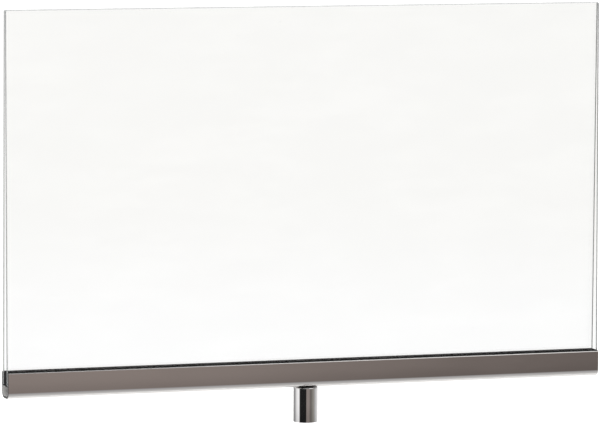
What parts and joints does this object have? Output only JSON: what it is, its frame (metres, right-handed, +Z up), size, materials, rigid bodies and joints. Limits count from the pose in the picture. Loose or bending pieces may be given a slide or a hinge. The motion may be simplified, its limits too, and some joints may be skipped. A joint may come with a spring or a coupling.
{
  "type": "table-top guard panel",
  "caption": "Clear two-leaf guard panel in a polished U rail that swivels on a short stem with a tapped foot; the leaves lift out for cleaning.",
  "frame": {"origin": "centre of the mouth of the tapped hole in the stem's foot", "axes": "+X along the rail, -Y is the front, +Z up out of the stem towards the leaves"},
  "size_m": [0.56, 0.022, 0.374],
  "materials": {
    "rail_plating": "bright plated, polished",
    "stem_plating": "bright plated, turned and polished",
    "clear_acrylic": "clear, polished edges",
    "gasket_rubber": "matte black extruded rubber",
    "spacer_plastic": "matte black",
    "block_rubber": "matte dark grey",
    "zinced_steel": "zinc plated",
    "bush_plastic": "moulded dark grey bearing plastic",
    "washer_nylon": "black nylon",
    "screw_steel": "turned steel",
    "spring_steel": "blued spring steel"
  },
  "bodies": {
    "stem": {"stem": "stem_plating", "stem_screw": "screw_steel", "thrust_washer": "washer_nylon", "flat_washer": "zinced_steel", "disc_spring": "spring_steel"},
    "rail": {"rail": "rail_plating", "front_gasket": "gasket_rubber", "back_gasket": "gasket_rubber", "leaf_spacer": "spacer_plastic", "left_setting_block": "block_rubber", "right_setting_block": "block_rubber", "saddle_plate": "zinced_steel", "swivel_bush": "bush_plastic"},
    "front_leaf": {"front_leaf": "clear_acrylic"},
    "back_leaf": {"back_leaf": "clear_acrylic"}
  },
  "joints": [
    {"name": "rail_swivel", "type": "hinge", "parent": "stem", "child": "rail", "pos_m": [0, 0, 0.032], "axis": [0, 0, 1], "continuous": true},
    {"name": "front_leaf_lift", "type": "slide", "parent": "rail", "child": "front_leaf", "axis": [0, 0.0122, 0.9999], "range_m": [0, 0.025]},
    {"name": "back_leaf_lift", "type": "slide", "parent": "rail", "child": "back_leaf", "axis": [0, -0.0122, 0.9999], "range_m": [0, 0.025]}
  ]
}
